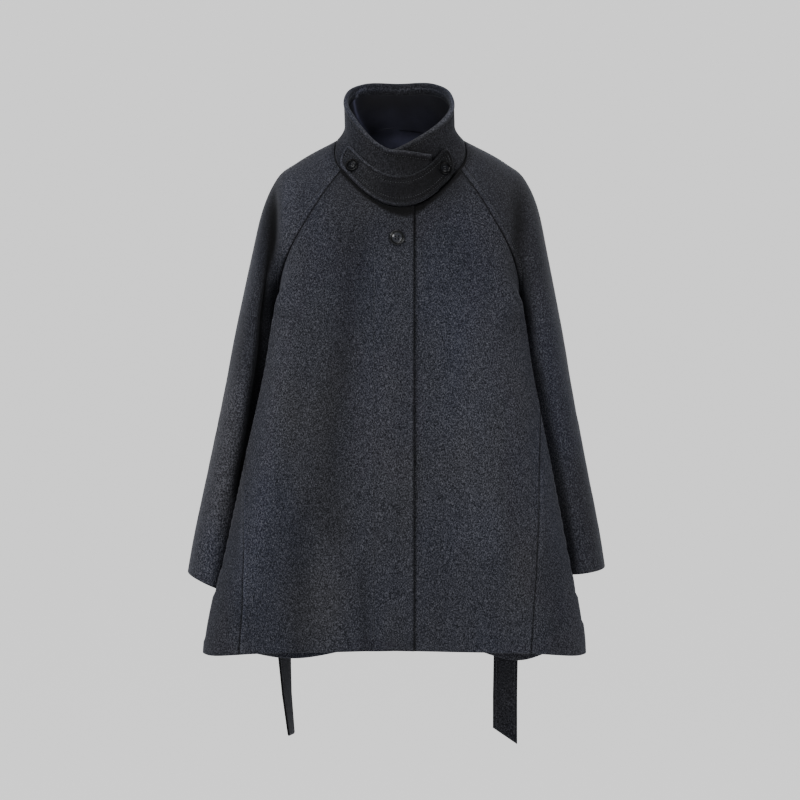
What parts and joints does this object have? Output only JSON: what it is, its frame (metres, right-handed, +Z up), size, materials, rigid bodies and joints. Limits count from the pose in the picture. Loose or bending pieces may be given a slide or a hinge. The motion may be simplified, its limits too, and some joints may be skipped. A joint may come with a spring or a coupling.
{
  "type": "belted raglan wrap coat",
  "caption": "Short A-line wool coat with raglan sleeves, a funnel collar closed by a buttoned throat strap, a fly front, in-seam pockets and a belt across the back.",
  "frame": {"origin": "between the wearer's shoulders at the base of the neck, where the coat hangs from its wearer", "axes": "+Z up, -Y the coat's front, +X towards the wearer's left"},
  "size_m": [0.6481, 0.3762, 1.0401],
  "materials": {
    "melton": "felted wool melton, charcoal with a slight heather",
    "lining": "smooth woven lining, near black with a blue cast",
    "button": "polished black horn look"
  },
  "bodies": {
    "root": {"front_right": "melton", "front_left": "melton", "back": "melton", "sleeve_right": "melton", "sleeve_left": "melton", "collar": "melton", "collar_lining": "lining", "collar_strap": "melton", "strap_button_right": "button", "strap_button_left": "button", "front_button": "button", "belt": "melton", "belt_loop_right": "melton", "belt_loop_left": "melton", "pocket_bag_right": "lining", "pocket_bag_left": "lining"}
  },
  "joints": []
}
